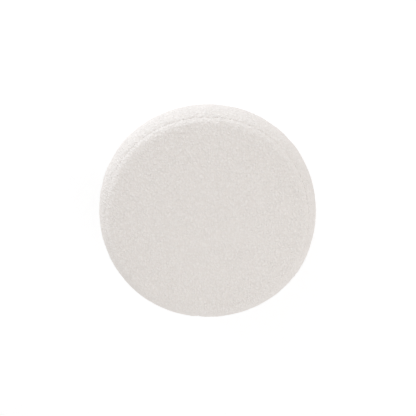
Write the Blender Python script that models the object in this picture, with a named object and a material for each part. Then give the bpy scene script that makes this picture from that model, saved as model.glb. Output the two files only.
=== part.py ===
"""Round storage ottoman with a thick padded lift-off lid. Metres, +Z up, origin on the floor under its centre."""

from math import atan2, cos, pi, radians, sin

import bmesh
import bpy

# Driving sizes
FACETS = 96                 # round the ottoman
FIT_GAP = 0.0003            # between pieces that lie against each other
SEAM_RADIUS = 0.183         # of both sewn seams of the lid
TOP_SEAM_HEIGHT = 0.375
BAND_DEPTH = 0.085          # side band of the lid, from its top seam to its bottom seam
BAND_SWELL = 0.019          # how far the padded band stands out beyond its seams
BAND_FULLNESS = 0.8         # power of the band's sine curve: under 1 fills out its shoulders
TOP_ROLL = 0.012            # the top panel rolls up this far from its seam, and this far in
TOP_CROWN = 0.008           # and crowns this much more at its centre
BOTTOM_ROLL = 0.003         # the underside turns in this far below the bottom seam
SEAM_GROOVE = 0.0016        # how deep the stitched seams pull in
SEAM_HALF_WIDTH = 0.0022

BOARD = 0.005               # drum wall
FLOOR_BOARD = 0.009
LID_BOARD = 0.012
DRUM_RADIUS = 0.171         # outside of the board wall
COVER_FOOT = 0.178          # outside of the padded cover at the floor
COVER_MIDDLE = 0.1806
COVER_TOP = 0.1795
COVER_HEM_ROLL = 0.003      # the hem rounds off onto the floor
COVER_OVER_RIM = 0.006      # thickness of the cover where it turns over the board's edge
COVER_SHOULDER = 0.007
COVER_INNER = 0.1612        # inside of the turned-in cover, the mouth of the well
COVER_TURN_IN = 0.032       # how far the cover reaches down inside the mouth
MOUTH_CLEARANCE = 0.0017    # all round the lid's board in the mouth

# The lid's outline isn't a true circle: it has soft corners with flats between them.
CORNERS = 4
CORNER_STAND = 0.001        # how far a corner stands out from the circle, and a flat lies in
CORNER_TURN = radians(-35)  # direction of the first corner

# Heights above the floor, and the top panel's flat part, worked out from the sizes above.
BOTTOM_SEAM_HEIGHT = TOP_SEAM_HEIGHT - BAND_DEPTH
LID_UNDERSIDE = BOTTOM_SEAM_HEIGHT - BOTTOM_ROLL
RIM_HEIGHT = LID_UNDERSIDE - FIT_GAP
BOARD_RIM = RIM_HEIGHT - COVER_OVER_RIM - FIT_GAP
FACE_HEIGHT = TOP_SEAM_HEIGHT + TOP_ROLL
FACE_RADIUS = SEAM_RADIUS - TOP_ROLL


def clear_scene():
    for item in list(bpy.data.objects):
        bpy.data.objects.remove(item, do_unlink=True)


def finish(name, color, roughness):
    """A plain finish for one piece."""
    made = bpy.data.materials.new(name)
    made.use_nodes = True
    shader = made.node_tree.nodes["Principled BSDF"]
    shader.inputs["Base Color"].default_value = (*color, 1.0)
    shader.inputs["Roughness"].default_value = roughness
    shader.inputs["Metallic"].default_value = 0.0
    return made


def outline_wander(angle):
    """How far the lid's outline stands out from a true circle in one direction."""
    return CORNER_STAND * cos(CORNERS * (angle - CORNER_TURN))


def turned(name, section, material, closed_loop=False, wander=None):
    """Turns a section of (radius, height) points about the ottoman's axis. An open section starts and ends on
    the axis; a closed one makes a tube or a sleeve. wander(angle) is added to the radius away from the axis."""
    shape = bmesh.new()
    corners = [shape.verts.new((radius, 0.0, height)) for radius, height in section]
    edges = [shape.edges.new(pair) for pair in zip(corners, corners[1:])]
    if closed_loop:
        edges.append(shape.edges.new((corners[-1], corners[0])))
    bmesh.ops.spin(shape, geom=corners + edges, cent=(0, 0, 0), axis=(0, 0, 1), angle=2 * pi,
                   steps=FACETS, use_merge=True)
    bmesh.ops.remove_doubles(shape, verts=shape.verts, dist=0.00002)
    if wander:
        for point in shape.verts:
            radius = point.co.xy.length
            if radius > 0:
                direction = atan2(point.co.y, point.co.x)
                share = min(1.0, radius / SEAM_RADIUS) ** 2
                grown = 1 + share * wander(direction) / radius
                point.co.x *= grown
                point.co.y *= grown
    bmesh.ops.recalc_face_normals(shape, faces=shape.faces)
    mesh = bpy.data.meshes.new(name)
    shape.to_mesh(mesh)
    shape.free()
    mesh.shade_smooth()
    mesh.set_sharp_from_angle(angle=radians(35))
    mesh.materials.append(material)
    made = bpy.data.objects.new(name, mesh)
    bpy.context.collection.objects.link(made)
    return made


def lid_section():
    """The lid cushion from the middle of its crowned top, over the rolled edge and the swollen band, to the
    middle of its flat underside."""
    section = [(0.0, FACE_HEIGHT + TOP_CROWN)]
    for share in (0.22, 0.44, 0.64, 0.82, 0.94):
        section.append((FACE_RADIUS * share, FACE_HEIGHT + TOP_CROWN * (1 - share ** 2)))
    for step in range(5):
        turn = pi / 2 * (1 - step / 5)
        section.append((FACE_RADIUS + TOP_ROLL * cos(turn), TOP_SEAM_HEIGHT + TOP_ROLL * sin(turn)))
    section.append((SEAM_RADIUS - SEAM_GROOVE, TOP_SEAM_HEIGHT))
    inset = SEAM_HALF_WIDTH / BAND_DEPTH
    for share in (0.0, 0.07, 0.16, 0.28, 0.42, 0.58, 0.72, 0.84, 0.93, 1.0):
        down = inset + share * (1 - 2 * inset)
        swell = BAND_SWELL * sin(pi * down) ** BAND_FULLNESS
        section.append((SEAM_RADIUS + swell, TOP_SEAM_HEIGHT - BAND_DEPTH * down))
    section.append((SEAM_RADIUS - SEAM_GROOVE, BOTTOM_SEAM_HEIGHT))
    section.append((SEAM_RADIUS - BOTTOM_ROLL / 2, BOTTOM_SEAM_HEIGHT - BOTTOM_ROLL / 2))
    section.append((SEAM_RADIUS - 2 * BOTTOM_ROLL, LID_UNDERSIDE))
    section.append((0.0, LID_UNDERSIDE))
    return section


def cover_section():
    """The padded cover of the drum: a sleeve that swells a little, turns over the board's edge and ends
    inside the mouth."""
    outer = [
        (DRUM_RADIUS + FIT_GAP, 0.0),
        (COVER_FOOT - COVER_HEM_ROLL, 0.0),
        (COVER_FOOT, COVER_HEM_ROLL),
    ]
    for share in (0.25, 0.5, 0.75):
        level = share * (RIM_HEIGHT - COVER_SHOULDER)
        straight = COVER_FOOT + share * (COVER_TOP - COVER_FOOT)
        belly = COVER_MIDDLE - (COVER_FOOT + COVER_TOP) / 2
        outer.append((straight + belly * sin(pi * share), level))
    for step in range(5):
        turn = pi / 2 * step / 4
        outer.append((COVER_TOP - COVER_SHOULDER * (1 - cos(turn)),
                      RIM_HEIGHT - COVER_SHOULDER * (1 - sin(turn))))
    inner_roll = COVER_SHOULDER / 2
    for step in range(4):
        turn = pi / 2 * (1 + step / 3)
        outer.append((COVER_INNER + inner_roll * (1 + cos(turn)), RIM_HEIGHT - inner_roll * (1 - sin(turn))))
    hem_height = RIM_HEIGHT - COVER_TURN_IN
    return outer + [
        (COVER_INNER, hem_height),
        (DRUM_RADIUS - BOARD - FIT_GAP, hem_height),
        (DRUM_RADIUS - BOARD - FIT_GAP, BOARD_RIM + FIT_GAP),
        (DRUM_RADIUS + FIT_GAP, BOARD_RIM + FIT_GAP),
    ]


def tube_section(inner, outer, low, high):
    return [(inner, low), (outer, low), (outer, high), (inner, high)]


def disc_section(radius, low, high):
    return [(0.0, low), (radius, low), (radius, high), (0.0, high)]


def build():
    clear_scene()
    cloth = (0.86, 0.83, 0.80)
    board = (0.52, 0.40, 0.28)

    turned("drum_floor", disc_section(DRUM_RADIUS, 0.0, FLOOR_BOARD), finish("floor_board", board, 0.8))
    turned("drum_shell", tube_section(DRUM_RADIUS - BOARD, DRUM_RADIUS, FLOOR_BOARD + FIT_GAP, BOARD_RIM),
           finish("wall_board", board, 0.8), closed_loop=True)
    turned("drum_cover", cover_section(), finish("cover_cloth", cloth, 0.95), closed_loop=True)

    lid_frame = bpy.data.objects.new("lid_lift_axis", None)
    bpy.context.collection.objects.link(lid_frame)
    board_top = LID_UNDERSIDE - FIT_GAP
    lid_pieces = [
        turned("lid_board", disc_section(COVER_INNER - MOUTH_CLEARANCE, board_top - LID_BOARD, board_top),
               finish("lid_board_face", board, 0.8)),
        turned("lid_cushion", lid_section(), finish("lid_cloth", cloth, 0.95), wander=outline_wander),
    ]
    for piece in lid_pieces:
        piece.parent = lid_frame


build()
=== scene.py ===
from math import cos, pi, radians, sin

import bpy
import numpy as np
from mathutils import Matrix, Vector


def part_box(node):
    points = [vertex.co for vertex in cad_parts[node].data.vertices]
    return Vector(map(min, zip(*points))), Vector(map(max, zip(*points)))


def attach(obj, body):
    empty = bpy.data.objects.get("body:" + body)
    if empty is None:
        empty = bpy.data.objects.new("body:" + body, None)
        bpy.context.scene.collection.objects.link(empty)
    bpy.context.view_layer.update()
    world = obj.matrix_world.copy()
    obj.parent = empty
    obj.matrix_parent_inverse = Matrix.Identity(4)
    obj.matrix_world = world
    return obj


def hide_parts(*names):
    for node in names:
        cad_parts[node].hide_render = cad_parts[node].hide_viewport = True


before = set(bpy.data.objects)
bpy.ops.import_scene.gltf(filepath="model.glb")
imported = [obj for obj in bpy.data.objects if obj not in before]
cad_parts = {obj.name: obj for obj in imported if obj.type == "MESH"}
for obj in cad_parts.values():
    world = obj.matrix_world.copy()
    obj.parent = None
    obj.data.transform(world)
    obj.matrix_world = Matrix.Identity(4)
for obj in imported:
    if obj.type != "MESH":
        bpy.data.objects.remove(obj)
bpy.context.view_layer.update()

# A round storage ottoman in warm white looped cloth: a thick padded lid that lifts off a padded drum.
# All sizes are in metres. Heights come from the frame, and widths are the maker's own.

# The lid
SEAM_RADIUS = 0.183          # of the top and bottom seams
TOP_ROLL = 0.012             # the top panel rolls down to its seam over this width
TOP_CROWN = 0.008            # and is this much higher in the middle
BAND_DEPTH = 0.085           # of the side band, from seam to seam
BAND_SWELL = 0.019           # how far the band stands out beyond its seams
BAND_FULLNESS = 0.8          # power of the band's sine curve: under 1 fills out its shoulders
BAND_STEPS = 17              # rows of faces down the band, before it is subdivided
CORNERS = 4                  # the outline isn't a true circle: it has soft corners with flats between them
CORNER_STAND = 0.001         # how far a corner stands out from the circle, and a flat lies in
CORNER_TURN = radians(-35)   # direction of the first corner
LID_SEGMENTS = 240           # round the lid, before it is subdivided

# The lid's panels are turned in behind their seams. Each row is (how far in from the seam, how far from its
# height), from the cut edge to the stitching.
SEAM_GROOVE = 0.0003         # how deep the stitching pulls the cloth in
TUCK = 0.010                 # seam allowance
TOP_PANEL_EDGE = ((TUCK, 0.006), (0.45 * TUCK, 0.005), (SEAM_GROOVE, 0.0008))
BAND_EDGE = ((TUCK, 0.007), (0.45 * TUCK, 0.002), (SEAM_GROOVE, 0.0004))
UNDERSIDE_EDGE = ((TUCK, 0.005), (0.45 * TUCK, 0.004), (SEAM_GROOVE, 0.0006))

# The drum
DRUM_RADIUS = 0.171          # outside of the board wall
BOARD = 0.005                # thickness of the wall
FIT_GAP = 0.0003             # between pieces that lie against each other
COVER_FOOT = 0.178           # outside of the padded cover at the floor
COVER_MIDDLE = 0.1806        # halfway up
COVER_TOP = 0.1795           # and where its shoulder starts
COVER_SHOULDER = 0.007       # radius of the turn at the rim
COVER_OVER_RIM = 0.006       # thickness of the cover over the board's edge
COVER_INNER = 0.1612         # inside of the turned-in cover, the mouth of the well
COVER_TURN_IN = 0.032        # how far the cover reaches down inside the mouth
COVER_HEM_ROLL = 0.003       # the hem rounds off towards the floor
HEM_LIFT = 0.0004            # and just clears it
HEM_TURN = (0.0008, 0.0012)  # halfway round the hem's roll: in from the foot, and up from the floor
DRUM_SEGMENTS = 128          # round the drum, before it is subdivided
DRUM_STEP = 0.009            # height of the faces up the drum, before the same
OUTER_CLOTH = DRUM_RADIUS + 0.003   # cloth that lies further out than this is seen from outside

# Working on the meshes
DOUBLES_WITHIN = 0.00005     # points closer than this are merged
NEAREST = 0.001              # the least distance from the axis that a radius is divided by
SUBDIVISIONS = 2

# The padding behind the cloth
STRETCH_STIFFNESS = 40
BENDING_STIFFNESS = 2
PADDING_FRAMES = 20

# The looped cloth
LOOP_PITCH = 0.0042          # from loop to loop
LOOP_HEIGHT = 0.0013         # of the raised loops
LOOP_RELIEF = 0.0009         # what their shading adds to that
LOOP_SHAKE = 0.6             # how far the loops stand out of their rows, in pitches
LOOP_SCATTER = 0.85          # and how unevenly they are spaced, up to 1
TURNED_IN_LOOPS = 0.1        # how freely the loops stand where the side band is turned in, up to 1
PRESSED_LOOPS = 0.25         # on the underside
DRUM_LOOPS = 0.8             # on the outside of the drum
MOUTH_LOOPS = 0.2            # in its mouth
EDGE_LOOPS = 0.15            # and the share of those at its rim and foot
NUB_SHARE = 0.65             # of the height that the round nubs make, and curls of yarn the rest
NUB_TOP = 0.1                # a nub is round between these distances from its middle, in pitches
NUB_FOOT = 0.75
CURLS_PER_LOOP = 2.4
CURL_SHARPNESS = 7.0
YARN_TWIST = 0.0011          # from strand to strand within a loop
YARN_RELIEF = 0.0003
# painted shade: the pits between the loops are coloured darker and warmer than the loops' backs
PIT_SHADE_COLOUR = (0.86, 0.808, 0.768, 1)
LOOP_COLOUR = (0.91, 0.868, 0.836, 1)

# The bare fibreboard
BOARD_GRAIN = 700.0          # specks to a metre
BOARD_RELIEF = 0.0002
BOARD_DARK = (0.40, 0.29, 0.19, 1)
BOARD_LIGHT = (0.60, 0.47, 0.33, 1)

# Gathers where the stitching draws the cloth up
GATHER_PITCH = 0.0055
GATHER_DEPTH = 0.0009
GATHER_PEAK = 0.0022         # they are deepest this far from the seam
GATHER_REACH = 0.004375      # and fade out over this
GATHER_PULL = 0.35           # the share of their depth that the seam is drawn in by between them
GATHER_SHIFTS = ((17, 2.1, 1), (41, 1.6, 2))       # (waves round the seam, size, share of the offset)
GATHER_STRENGTHS = ((13, 0.25, 3), (29, 0.2, 5))   # the same, about the middle strength
GATHER_MIDDLE = 0.55
TOP_OFFSET = 0.7             # the two seams gather in different places
BOTTOM_OFFSET = 1.9
TIGHT_SIDE = radians(-10)    # the thread was pulled tightest on this side of the lid
TIGHT_CHANGE = 0.4           # half the difference between that side and the far one
SEAM_WANDER = 0.0005         # how far the seam's own line wanders up and down
SEAM_WAVES = (23, 57, 90, 133)       # waves round the seam, each started apart from the others
SEAM_WAVE_START = 1.3
WANDER_REACH = 0.004

# Long soft swells of a cover that isn't quite taut: (size, part of the waves, extra waves, lean, start)
SWELLS = ((1.0, 1, 0, 2, 0.0), (0.7, 2, 1, -7, 2.0), (0.6, 3, 2, 11, 4.0))
SWELL_BEND = 5               # the first of them also crowds together and spreads, three times round
SWELL_FADE = 0.03            # they fade out over this height above and below

# The upright seam that closes a round strip at the back
CLOSING_LINE = (0.0014, 0.0016)      # depth and width of the stitched line
CLOSING_PULL = (0.0008, 0.006)       # and of the uneven pull beside it
CLOSING_UNEVEN = 0.35                # the share that the pull varies by from stitch to stitch
CLOSING_DRIFT = (1.5, 90)            # the stitches aren't evenly spaced: size, and waves in 2 pi metres
CLOSING_FROM = DRUM_RADIUS + 0.002   # the cloth further out than this is drawn in

# The view
VIEW_TILT = radians(13.9)    # between the line of sight and the lid's upright axis
VIEW_TURN = radians(84.9)    # the side that shows lies this way in the view, from its right, anticlockwise
VIEW_DISTANCE = 1.10
LENS_MM = 53.0
SENSOR_MM = 36.0
VIEW_SHIFT = (0.0029, 0.0275)

# The studio
KEY_COLOUR = (0.85, 0.92, 1.0)   # a cool window light
LAMP_SPREAD = radians(120)
WORLD_LIGHT = 0.84
FLOOR_WIDTH = 60
FLOOR_DROP = 0.0005          # the floor lies this far under the ottoman
FLOOR_COLOUR = (0.93, 0.93, 0.93, 1)
FLOOR_GLOW = 0.17

lid_low, lid_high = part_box("lid_cushion")
TOP_SEAM = lid_high.z - TOP_CROWN - TOP_ROLL
BOTTOM_SEAM = TOP_SEAM - BAND_DEPTH
UNDERSIDE = lid_low.z
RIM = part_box("drum_cover")[1].z
FACE_RADIUS = SEAM_RADIUS - TOP_ROLL


# ---- Shaping ----

def take(piece):
    """Selects one piece alone and makes it the active one."""
    bpy.ops.object.select_all(action="DESELECT")
    piece.select_set(True)
    bpy.context.view_layer.objects.active = piece


def extruded_loops(name, segments, rings):
    """Starts as a circle at the first (radius, height) and is extruded loop by loop through the others."""
    bpy.ops.object.select_all(action="DESELECT")
    radius, height = rings[0]
    bpy.ops.mesh.primitive_circle_add(vertices=segments, radius=radius, fill_type="NOTHING",
                                      location=(0, 0, height))
    piece = bpy.context.object
    piece.name = name
    piece.data.name = name
    bpy.ops.object.mode_set(mode="EDIT")
    bpy.ops.mesh.select_mode(type="EDGE")
    bpy.ops.mesh.select_all(action="SELECT")
    for next_radius, next_height in rings[1:]:
        bpy.ops.mesh.extrude_edges_move(TRANSFORM_OT_translate={"value": (0, 0, next_height - height)})
        growth = next_radius / radius
        bpy.ops.transform.resize(value=(growth, growth, 1), center_override=(0, 0, next_height))
        radius, height = next_radius, next_height
    return piece


def fill_selected_loop(segments):
    """Fills the loop just extruded with a grid of squares."""
    bpy.ops.mesh.fill_grid(span=segments // 4, offset=0)


def leave_edit(piece):
    """Closes the doubles, turns the faces outwards and puts the place in the mesh."""
    bpy.ops.mesh.select_all(action="SELECT")
    bpy.ops.mesh.remove_doubles(threshold=DOUBLES_WITHIN)
    bpy.ops.mesh.normals_make_consistent(inside=False)
    bpy.ops.object.mode_set(mode="OBJECT")
    bpy.ops.object.transform_apply(location=True, rotation=True, scale=True)


def cap_open_loop(piece):
    """Closes the one open loop, out of sight inside, with a single face."""
    take(piece)
    bpy.ops.object.mode_set(mode="EDIT")
    bpy.ops.mesh.select_mode(type="EDGE")
    bpy.ops.mesh.select_all(action="DESELECT")
    bpy.ops.mesh.select_non_manifold()
    bpy.ops.mesh.edge_face_add()
    bpy.ops.mesh.select_all(action="SELECT")
    bpy.ops.mesh.normals_make_consistent(inside=False)
    bpy.ops.object.mode_set(mode="OBJECT")


def subdivide(piece):
    take(piece)
    finer = piece.modifiers.new("finer", "SUBSURF")
    finer.levels = SUBDIVISIONS
    finer.render_levels = SUBDIVISIONS
    bpy.ops.object.modifier_apply(modifier=finer.name)


def split_squares(piece):
    """Splits each square along its shorter diagonal, so that none makes slivers where the grid is
    squeezed."""
    take(piece)
    bpy.ops.object.mode_set(mode="EDIT")
    bpy.ops.mesh.select_all(action="SELECT")
    bpy.ops.mesh.quads_convert_to_tris(quad_method="SHORTEST_DIAGONAL", ngon_method="BEAUTY")
    bpy.ops.object.mode_set(mode="OBJECT")


def points_of(piece):
    flat = np.zeros(len(piece.data.vertices) * 3)
    piece.data.vertices.foreach_get("co", flat)
    return flat.reshape(-1, 3)


def put_points(piece, points):
    piece.data.vertices.foreach_set("co", points.ravel())
    piece.data.update()


def around(points):
    """Each point's distance from the upright axis, and its direction round it."""
    return np.hypot(points[:, 0], points[:, 1]), np.arctan2(points[:, 1], points[:, 0])


def move_out(piece, points, outward):
    """Puts the points back, each moved out from the axis by its own distance."""
    radius = around(points)[0]
    points[:, :2] *= (1 + outward / np.maximum(radius, NEAREST))[:, None]
    put_points(piece, points)


def fade_in(distance, start, width):
    """0 up to the start, then evenly up to 1 over the width."""
    return np.clip((distance - start) / width, 0, 1)


# ---- Padding, gathers and seams ----

def make_uneven(piece):
    """Gives a piece of the lid the lid's own outline."""
    points = points_of(piece)
    radius, angles = around(points)
    share = np.minimum(1.0, radius / SEAM_RADIUS) ** 2
    move_out(piece, points, share * CORNER_STAND * np.cos(CORNERS * (angles - CORNER_TURN)))


def pad(piece, free, pressure, most):
    """Blows the padding up behind the cloth. free(points) says how free each point is, and no point moves
    further than most."""
    start = points_of(piece)
    sewn = piece.vertex_groups.new(name="sewn")
    for index, share in enumerate(free(start)):
        sewn.add([index], float(1 - share), "REPLACE")
    filling = piece.modifiers.new("filling", "CLOTH")
    filling.settings.vertex_group_mass = "sewn"
    filling.settings.use_pressure = True
    filling.settings.uniform_pressure_force = pressure
    filling.settings.effector_weights.gravity = 0
    filling.settings.tension_stiffness = STRETCH_STIFFNESS
    filling.settings.compression_stiffness = STRETCH_STIFFNESS
    filling.settings.bending_stiffness = BENDING_STIFFNESS
    filling.point_cache.frame_start = 1
    filling.point_cache.frame_end = PADDING_FRAMES
    for moment in range(1, PADDING_FRAMES + 1):
        bpy.context.scene.frame_set(moment)
    take(piece)
    bpy.ops.object.modifier_apply(modifier=filling.name)
    moved = points_of(piece) - start
    far = np.linalg.norm(moved, axis=1)
    kept = most * np.tanh(far / most) / np.maximum(far, 1e-9)
    put_points(piece, start + moved * kept[:, None])
    piece.vertex_groups.clear()
    bpy.context.scene.frame_set(1)


def gathers(angles, offset):
    """The uneven run of small gathers along a round seam of the lid, from -1 to 1."""
    def waves(rows):
        return sum(size * np.sin(count * angles + share * offset) for count, size, share in rows)

    count = round(2 * pi * SEAM_RADIUS / GATHER_PITCH)
    strong = GATHER_MIDDLE + waves(GATHER_STRENGTHS)
    return strong * np.sin(count * angles + waves(GATHER_SHIFTS))


def gather_seam(piece, seam_height, offset):
    """Gathers the cloth next to a round seam of the lid, on this piece's side of it."""
    points = points_of(piece)
    radius, angles = around(points)
    away = np.abs(points[:, 2] - seam_height)
    fade = np.exp(-((away - GATHER_PEAK) / GATHER_REACH) ** 2) * (radius > FACE_RADIUS)
    tight = 1 - TIGHT_CHANGE + TIGHT_CHANGE * np.cos(angles - TIGHT_SIDE)
    # The line of the seam itself wanders a little too, alike on both of its panels.
    wander = sum(np.sin(count * angles + SEAM_WAVE_START * count) for count in SEAM_WAVES) / len(SEAM_WAVES)
    points[:, 2] += SEAM_WANDER * wander * np.exp(-(away / WANDER_REACH) ** 2)
    move_out(piece, points, GATHER_DEPTH * tight * fade * (gathers(angles, offset) - GATHER_PULL))


def ease(piece, depth, wave, reach_low, reach_high):
    """The cover isn't quite taut: it stands off and lies closer by turns, in long soft swells."""
    points = points_of(piece)
    radius, angles = around(points)
    height = points[:, 2]
    turns = round(2 * pi * DRUM_RADIUS / wave)
    swell = 0
    for size, part, extra, lean, start in SWELLS:
        bend = SWELL_BEND * np.sin(3 * angles) if part == 1 else 0
        swell = swell + size * np.sin((turns // part + extra) * angles + bend + lean * height / wave + start)
    most = sum(row[0] for row in SWELLS)
    middle = fade_in(np.minimum(height - reach_low, reach_high - height), start=0, width=SWELL_FADE)
    move_out(piece, points, depth * swell / most * middle * (radius > OUTER_CLOTH))


def closing_seam(piece, reach_low, reach_high):
    """The upright seam that closes a round strip at the back."""
    points = points_of(piece)
    radius, angles = around(points)
    across = radius * (angles - pi / 2)
    height = points[:, 2]
    drawn = (height > reach_low) & (height < reach_high) & (radius > CLOSING_FROM)
    drift, waves = CLOSING_DRIFT
    stitch = 2 * pi * height / GATHER_PITCH + drift * np.sin(waves * height)
    uneven = 1 + CLOSING_UNEVEN * np.sin(stitch)
    line_depth, line_width = CLOSING_LINE
    pull_depth, pull_width = CLOSING_PULL
    draw = (line_depth * np.exp(-(across / line_width) ** 2)
            + pull_depth * uneven * np.exp(-(across / pull_width) ** 2))
    move_out(piece, points, -(drawn * draw))


# ---- Finishes ----

def add_node(tree, kind, **settings):
    node = tree.nodes.new(kind)
    for key, value in settings.items():
        setattr(node, key, value)
    return node


def feed(tree, socket, value):
    """Sets a socket to a number, or joins it to another node."""
    if isinstance(value, bpy.types.NodeSocket):
        tree.links.new(value, socket)
    else:
        socket.default_value = value


def set_inputs(node, values):
    for name, value in values.items():
        node.inputs[name].default_value = value


def maths(tree, operation, first, second=0.0, clamp=False):
    node = add_node(tree, "ShaderNodeMath", operation=operation, use_clamp=clamp)
    feed(tree, node.inputs[0], first)
    feed(tree, node.inputs[1], second)
    return node.outputs[0]


def vector_maths(tree, operation, first, second=None, scale=None):
    node = add_node(tree, "ShaderNodeVectorMath", operation=operation)
    feed(tree, node.inputs[0], first)
    if second is not None:
        feed(tree, node.inputs[1], second)
    if scale is not None:
        feed(tree, node.inputs["Scale"], scale)
    return node.outputs[0]


def noise(tree, place, scale, detail=0.0):
    node = add_node(tree, "ShaderNodeTexNoise", noise_dimensions="3D")
    feed(tree, node.inputs["Vector"], place)
    set_inputs(node, {"Scale": scale, "Detail": detail, "Roughness": 0.5})
    return node


def tones(tree, value, low, high):
    """Turns a number into a colour. low and high are each a (number, colour)."""
    node = add_node(tree, "ShaderNodeValToRGB")
    for element, (position, colour) in zip(node.color_ramp.elements, (low, high)):
        element.position = position
        element.color = colour
    feed(tree, node.inputs["Fac"], value)
    return node.outputs["Color"]


def relief(tree, height, strength, distance, under=None):
    """Shades a height as relief, on top of another one if there is one."""
    node = add_node(tree, "ShaderNodeBump")
    set_inputs(node, {"Strength": strength, "Distance": distance})
    feed(tree, node.inputs["Height"], height)
    if under is not None:
        feed(tree, node.inputs["Normal"], under)
    return node.outputs["Normal"]


def new_finish(name, values):
    """A new material with its node tree and its shader, whose inputs are set to the values."""
    made = bpy.data.materials.new(name)
    made.use_nodes = True
    shader = made.node_tree.nodes["Principled BSDF"]
    set_inputs(shader, values)
    return made, made.node_tree, shader


def curled_loops(tree, place):
    """Height of the loops at a place, from 0 in the pits between them to 1 on their backs."""
    # The loops don't stand in rows: their places are shaken first.
    shake = noise(tree, place, 1 / LOOP_PITCH)
    sway = vector_maths(tree, "SUBTRACT", shake.outputs["Color"], (0.5, 0.5, 0.5))
    sway = vector_maths(tree, "SCALE", sway, scale=LOOP_SHAKE * LOOP_PITCH)
    shaken = vector_maths(tree, "ADD", place, sway)
    # A round nub stands for each loop.
    nubs = add_node(tree, "ShaderNodeTexVoronoi", feature="F1", voronoi_dimensions="3D")
    feed(tree, nubs.inputs["Vector"], shaken)
    set_inputs(nubs, {"Scale": 1 / LOOP_PITCH, "Randomness": LOOP_SCATTER})
    rounded = add_node(tree, "ShaderNodeMapRange", interpolation_type="SMOOTHSTEP")
    feed(tree, rounded.inputs["Value"], nubs.outputs["Distance"])
    set_inputs(rounded, {"From Min": NUB_TOP, "From Max": NUB_FOOT, "To Min": 1.0, "To Max": 0.0})
    # Curls of yarn wander between them.
    curls = noise(tree, shaken, CURLS_PER_LOOP / LOOP_PITCH)
    swing = maths(tree, "ABSOLUTE", maths(tree, "SUBTRACT", curls.outputs["Fac"], 0.5))
    ridge = maths(tree, "SUBTRACT", 1.0, maths(tree, "MULTIPLY", swing, CURL_SHARPNESS), clamp=True)
    return maths(tree, "ADD", maths(tree, "MULTIPLY", rounded.outputs[0], NUB_SHARE),
                 maths(tree, "MULTIPLY", ridge, 1 - NUB_SHARE))


def loop_nodes():
    """Raises the cloth's curled loops along the normals."""
    tree = bpy.data.node_groups.new("curled loops", "GeometryNodeTree")
    tree.interface.new_socket("Geometry", in_out="INPUT", socket_type="NodeSocketGeometry")
    tree.interface.new_socket("Geometry", in_out="OUTPUT", socket_type="NodeSocketGeometry")
    start = add_node(tree, "NodeGroupInput")
    end = add_node(tree, "NodeGroupOutput")
    place = add_node(tree, "GeometryNodeInputPosition").outputs[0]
    normal = add_node(tree, "GeometryNodeInputNormal").outputs[0]
    height = maths(tree, "SUBTRACT", curled_loops(tree, place), 0.5)
    # The attribute stand says how freely the loops stand: less where the cloth is pressed or sewn down.
    stand = add_node(tree, "GeometryNodeInputNamedAttribute", data_type="FLOAT")
    stand.inputs["Name"].default_value = "stand"
    reach = maths(tree, "MULTIPLY", maths(tree, "MULTIPLY", height, stand.outputs["Attribute"]), LOOP_HEIGHT)
    lift = add_node(tree, "GeometryNodeSetPosition")
    feed(tree, lift.inputs["Geometry"], start.outputs[0])
    feed(tree, lift.inputs["Offset"], vector_maths(tree, "SCALE", normal, scale=reach))
    feed(tree, end.inputs[0], lift.outputs[0])
    return tree


def looped_cloth():
    made, tree, shader = new_finish("warm white looped cloth", {
        "Roughness": 0.95, "Specular IOR Level": 0.15, "Sheen Weight": 0.05, "Sheen Roughness": 0.6})
    place = add_node(tree, "ShaderNodeTexCoord").outputs["Object"]
    height = curled_loops(tree, place)
    # The pits between the loops are painted a little darker and warmer: painted shade, standing in for the
    # shade that falls between the loops.
    colour = tones(tree, height, low=(0.0, PIT_SHADE_COLOUR), high=(0.6, LOOP_COLOUR))
    feed(tree, shader.inputs["Base Color"], colour)
    # The loops, then the fine twist of their yarn.
    curl = relief(tree, height, strength=1.0, distance=LOOP_RELIEF)
    twist = noise(tree, place, 1 / YARN_TWIST, detail=2.0).outputs["Fac"]
    yarn = relief(tree, twist, strength=0.5, distance=YARN_RELIEF, under=curl)
    feed(tree, shader.inputs["Normal"], yarn)
    return made


def bare_board():
    made, tree, shader = new_finish("bare fibreboard", {"Roughness": 0.75})
    place = add_node(tree, "ShaderNodeTexCoord").outputs["Object"]
    speck = noise(tree, place, BOARD_GRAIN, detail=4.0).outputs["Fac"]
    tone = tones(tree, speck, low=(0.35, BOARD_DARK), high=(0.68, BOARD_LIGHT))
    feed(tree, shader.inputs["Base Color"], tone)
    feed(tree, shader.inputs["Normal"], relief(tree, speck, strength=0.25, distance=BOARD_RELIEF))
    return made


LOOPS = loop_nodes()
CLOTH = looped_cloth()
FIBREBOARD = bare_board()


def raise_loops(piece, stand):
    """Raises the loops all over a piece. stand(points) says how freely they stand, from 0 to 1."""
    values = stand(points_of(piece)).astype(np.float32)
    piece.data.attributes.new("stand", "FLOAT", "POINT").data.foreach_set("value", values)
    take(piece)
    loops = piece.modifiers.new("loops", "NODES")
    loops.node_group = LOOPS
    bpy.ops.object.modifier_apply(modifier=loops.name)
    bpy.ops.object.shade_smooth()


def dress(piece, body, *nodes, fill):
    """The cloth, the body it moves with and the solid it stands for."""
    piece.data.materials.clear()
    piece.data.materials.append(CLOTH)
    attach(piece, body)
    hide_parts(*nodes)


# ---- The lid's three panels ----

def edge_rings(edge, seam_height, side):
    """A panel's turned-in edge, under the seam where side is -1 and over it where it is 1."""
    return [(SEAM_RADIUS - inward, seam_height + side * away) for inward, away in edge]


def crown(radius):
    """How much higher the padding is at a radius than at the seam."""
    return TOP_CROWN * (1 - (radius / SEAM_RADIUS) ** 2)


def band_radius(down):
    """Radius of the side band at a share of its depth."""
    return SEAM_RADIUS + BAND_SWELL * sin(pi * down) ** BAND_FULLNESS


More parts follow.
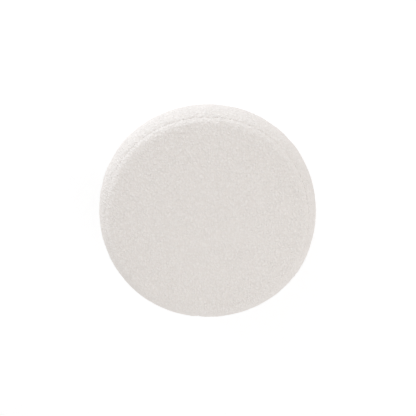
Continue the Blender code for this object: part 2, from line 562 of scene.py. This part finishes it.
def top_panel():
    rings = edge_rings(TOP_PANEL_EDGE, TOP_SEAM, -1)
    for turn in (8, 28, 50, 72):
        radius = FACE_RADIUS + TOP_ROLL * cos(radians(turn))
        rings.append((radius, TOP_SEAM + TOP_ROLL * sin(radians(turn)) + crown(radius)))
    for radius in (FACE_RADIUS, 0.97 * FACE_RADIUS):
        rings.append((radius, TOP_SEAM + TOP_ROLL + crown(radius)))
    panel = extruded_loops("lid_top_panel", LID_SEGMENTS, rings)
    fill_selected_loop(LID_SEGMENTS)
    leave_edit(panel)
    # The filled grid is flat: it gets its crown here.
    points = points_of(panel)
    radius = around(points)[0]
    face = (points[:, 2] > TOP_SEAM + 0.9 * TOP_ROLL) & (radius < FACE_RADIUS)
    points[face, 2] = TOP_SEAM + TOP_ROLL + crown(radius[face])
    put_points(panel, points)
    make_uneven(panel)
    pad(panel, lambda points: fade_in(points[:, 2] - TOP_SEAM, start=0.002, width=0.008),
        pressure=0.2, most=0.001)
    subdivide(panel)
    split_squares(panel)
    cap_open_loop(panel)
    gather_seam(panel, TOP_SEAM, TOP_OFFSET)
    raise_loops(panel, lambda points: fade_in(points[:, 2] - TOP_SEAM, start=-0.002, width=0.003))
    dress(panel, "lid", "lid_cushion", fill=0.9)


def side_band():
    rings = edge_rings(BAND_EDGE, TOP_SEAM, -1)
    groove = SEAM_GROOVE / BAND_DEPTH
    for step in range(BAND_STEPS + 1):
        down = groove + (1 - 2 * groove) * step / BAND_STEPS
        rings.append((band_radius(down), TOP_SEAM - BAND_DEPTH * down))
    rings += reversed(edge_rings(BAND_EDGE, BOTTOM_SEAM, 1))
    rings += [(SEAM_RADIUS - TUCK, (TOP_SEAM + BOTTOM_SEAM) / 2), rings[0]]
    band = extruded_loops("lid_side_band", LID_SEGMENTS, rings)
    leave_edit(band)
    make_uneven(band)

    def free(points):
        depth = np.minimum(TOP_SEAM - points[:, 2], points[:, 2] - BOTTOM_SEAM)
        return fade_in(depth, start=0.004, width=0.012) * (around(points)[0] > SEAM_RADIUS)

    pad(band, free, pressure=0.6, most=0.0025)
    subdivide(band)
    gather_seam(band, TOP_SEAM, TOP_OFFSET)
    gather_seam(band, BOTTOM_SEAM, BOTTOM_OFFSET)
    ease(band, depth=0.0006, wave=0.06, reach_low=BOTTOM_SEAM + 0.006, reach_high=TOP_SEAM - 0.006)
    closing_seam(band, reach_low=BOTTOM_SEAM - 0.01, reach_high=TOP_SEAM + 0.01)

    def stand(points):
        return np.where(around(points)[0] < SEAM_RADIUS - 0.004, TURNED_IN_LOOPS, 1.0)

    raise_loops(band, stand)
    dress(band, "lid", "lid_cushion", fill=0.9)


def underside():
    # The cloth turns under within a few millimetres of the seam, and is pressed flat from there on.
    rings = edge_rings(UNDERSIDE_EDGE, BOTTOM_SEAM, 1)
    rings += [
        (SEAM_RADIUS - 0.0015, BOTTOM_SEAM - 0.0012),
        (SEAM_RADIUS - 0.004, UNDERSIDE + 0.0004),
        (SEAM_RADIUS - 0.009, UNDERSIDE),
        (SEAM_RADIUS - 0.014, UNDERSIDE),
    ]
    panel = extruded_loops("lid_underside", LID_SEGMENTS // 2, rings)
    fill_selected_loop(LID_SEGMENTS // 2)
    leave_edit(panel)
    make_uneven(panel)
    subdivide(panel)
    split_squares(panel)
    cap_open_loop(panel)
    # It lies on the drum's rim and the lid's board, which press its loops down.
    raise_loops(panel, lambda points: np.full(len(points), PRESSED_LOOPS))
    dress(panel, "lid", "lid_cushion", fill=0.4)


# ---- The drum ----

def cover_rings():
    """The cover's section: up the outside, over the rim, down into the mouth and back along the board."""
    hem = RIM - COVER_TURN_IN
    board_side = DRUM_RADIUS + FIT_GAP
    inner_side = DRUM_RADIUS - BOARD - FIT_GAP
    rings = [
        (board_side, HEM_LIFT),
        (COVER_FOOT - COVER_HEM_ROLL, HEM_LIFT),
        (COVER_FOOT - HEM_TURN[0], HEM_TURN[1]),
        (COVER_FOOT, COVER_HEM_ROLL),
    ]
    straight_height = RIM - COVER_SHOULDER
    belly = COVER_MIDDLE - (COVER_FOOT + COVER_TOP) / 2
    steps = round((straight_height - COVER_HEM_ROLL) / DRUM_STEP)
    for step in range(1, steps):
        share = step / steps
        straight = COVER_FOOT + share * (COVER_TOP - COVER_FOOT)
        rings.append((straight + belly * sin(pi * share),
                      COVER_HEM_ROLL + share * (straight_height - COVER_HEM_ROLL)))
    for turn in (0, 35, 65, 90):
        rings.append((COVER_TOP - COVER_SHOULDER * (1 - cos(radians(turn))),
                      RIM - COVER_SHOULDER * (1 - sin(radians(turn)))))
    inner_roll = COVER_SHOULDER / 2
    for turn in (90, 135, 180):
        rings.append((COVER_INNER + inner_roll * (1 + cos(radians(turn))),
                      RIM - inner_roll * (1 - sin(radians(turn)))))
    for share in (0.35, 0.7, 1.0):
        rings.append((COVER_INNER, RIM - inner_roll + share * (hem - RIM + inner_roll)))
    board_rim = RIM - COVER_OVER_RIM
    return rings + [(inner_side, hem), (inner_side, board_rim), (board_side, board_rim), rings[0]]


def drum_sleeve():
    sleeve = extruded_loops("drum_sleeve", DRUM_SEGMENTS, cover_rings())
    leave_edit(sleeve)

    def free(points):
        height = np.minimum(points[:, 2] - 0.01, RIM - 0.012 - points[:, 2])
        return fade_in(height, start=0, width=0.02) * (around(points)[0] > OUTER_CLOTH)

    pad(sleeve, free, pressure=0.3, most=0.002)
    subdivide(sleeve)
    ease(sleeve, depth=0.0011, wave=0.075, reach_low=0.004, reach_high=RIM - 0.008)
    closing_seam(sleeve, reach_low=0.002, reach_high=RIM - 0.006)

    def stand(points):
        height = np.minimum(points[:, 2] - 0.001, RIM - 0.001 - points[:, 2])
        outside = around(points)[0] > OUTER_CLOTH
        edge = np.maximum(fade_in(height, start=0, width=0.004), EDGE_LOOPS)
        return edge * np.where(outside, DRUM_LOOPS, MOUTH_LOOPS)

    raise_loops(sleeve, stand)
    dress(sleeve, "base", "drum_cover", fill=0.7)


def boards():
    for node in ("lid_board", "drum_shell", "drum_floor"):
        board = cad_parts[node]
        board.data.materials.clear()
        board.data.materials.append(FIBREBOARD)


# ---- Floor, light and camera ----

def view_axes():
    """Line of sight, right and up of the view. The front of the ottoman shows above the lid's face."""
    front = Vector((0, -1, 0))
    upright = Vector((0, 0, 1))
    sight = -cos(VIEW_TILT) * upright - sin(VIEW_TILT) * front
    shown = -sin(VIEW_TILT) * upright + cos(VIEW_TILT) * front
    across = (-sight).cross(shown)
    right = cos(VIEW_TURN) * shown - sin(VIEW_TURN) * across
    up = sin(VIEW_TURN) * shown + cos(VIEW_TURN) * across
    return sight, right, up


def place_camera():
    sight, right, up = view_axes()
    lens = bpy.data.cameras.new("camera")
    lens.lens = LENS_MM
    lens.sensor_width = SENSOR_MM
    lens.shift_x, lens.shift_y = VIEW_SHIFT
    camera = bpy.data.objects.new("camera", lens)
    bpy.context.collection.objects.link(camera)
    turn = Matrix((right, up, -sight)).transposed().to_4x4()
    turn.translation = Vector((0, 0, TOP_SEAM)) - VIEW_DISTANCE * sight
    camera.matrix_world = turn
    bpy.context.scene.camera = camera


def soft_light(name, view_angle, lean, distance, width, height, power, colour=(1, 1, 1)):
    """A soft light. view_angle is the side of the view it stands on, and lean is its angle off the line of
    sight, both in degrees."""
    sight, right, up = view_axes()
    aside = cos(radians(view_angle)) * right + sin(radians(view_angle)) * up
    toward = -cos(radians(lean)) * sight + sin(radians(lean)) * aside
    middle = Vector((0, 0, TOP_SEAM - BAND_DEPTH / 2))
    light = bpy.data.lights.new(name, "AREA")
    light.shape = "RECTANGLE"
    light.size = width
    light.size_y = height
    light.energy = power
    light.color = colour
    light.spread = LAMP_SPREAD
    lamp = bpy.data.objects.new(name, light)
    lamp.visible_camera = False
    bpy.context.collection.objects.link(lamp)
    aim = toward.to_track_quat("Z", "Y").to_matrix().to_4x4()
    lamp.matrix_world = Matrix.Translation(middle + distance * toward) @ aim


def studio():
    bpy.ops.object.select_all(action="DESELECT")
    bpy.ops.mesh.primitive_plane_add(size=FLOOR_WIDTH, location=(0, 0, -FLOOR_DROP))
    floor = bpy.context.object
    floor.name = "studio_floor"
    paint = new_finish("pale floor", {
        "Base Color": FLOOR_COLOUR, "Roughness": 0.9, "Specular IOR Level": 0.1,
        "Emission Color": (1, 1, 1, 1), "Emission Strength": FLOOR_GLOW})[0]
    floor.data.materials.append(paint)
    world = bpy.data.worlds.new("studio")
    world.use_nodes = True
    set_inputs(world.node_tree.nodes["Background"], {"Color": (1, 1, 1, 1), "Strength": WORLD_LIGHT})
    bpy.context.scene.world = world
    bpy.context.scene.view_settings.view_transform = "Standard"
    soft_light("key", view_angle=121, lean=80, distance=1.6, width=1.4, height=0.4, power=4.0,
               colour=KEY_COLOUR)
    soft_light("fill", view_angle=325, lean=40, distance=1.6, width=1.0, height=1.0, power=1.3)
    place_camera()


top_panel()
side_band()
underside()
drum_sleeve()
boards()
studio()
